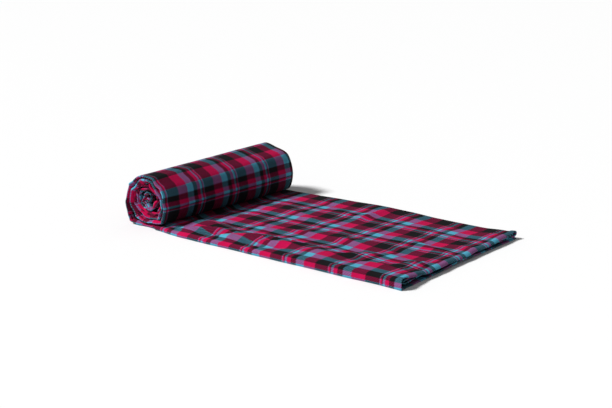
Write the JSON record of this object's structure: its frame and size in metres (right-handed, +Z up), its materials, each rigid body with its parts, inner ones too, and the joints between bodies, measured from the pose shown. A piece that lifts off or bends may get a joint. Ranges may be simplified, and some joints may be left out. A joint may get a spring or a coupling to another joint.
{
  "type": "rolled maasai shuka blanket",
  "caption": "Checked woven shuka blanket, folded lengthwise into a band, part rolled up and part laid out flat.",
  "frame": {"origin": "middle of the footprint on the floor", "axes": "+X along the folded band from the roll to the free end, +Y across it from the outer fold to the far edge, +Z up"},
  "size_m": [0.6424, 0.3751, 0.1028],
  "materials": {
    "check_cloth": "matt twill weave in a crimson, black and blue check"
  },
  "bodies": {
    "root": {"blanket": "check_cloth"}
  },
  "joints": []
}
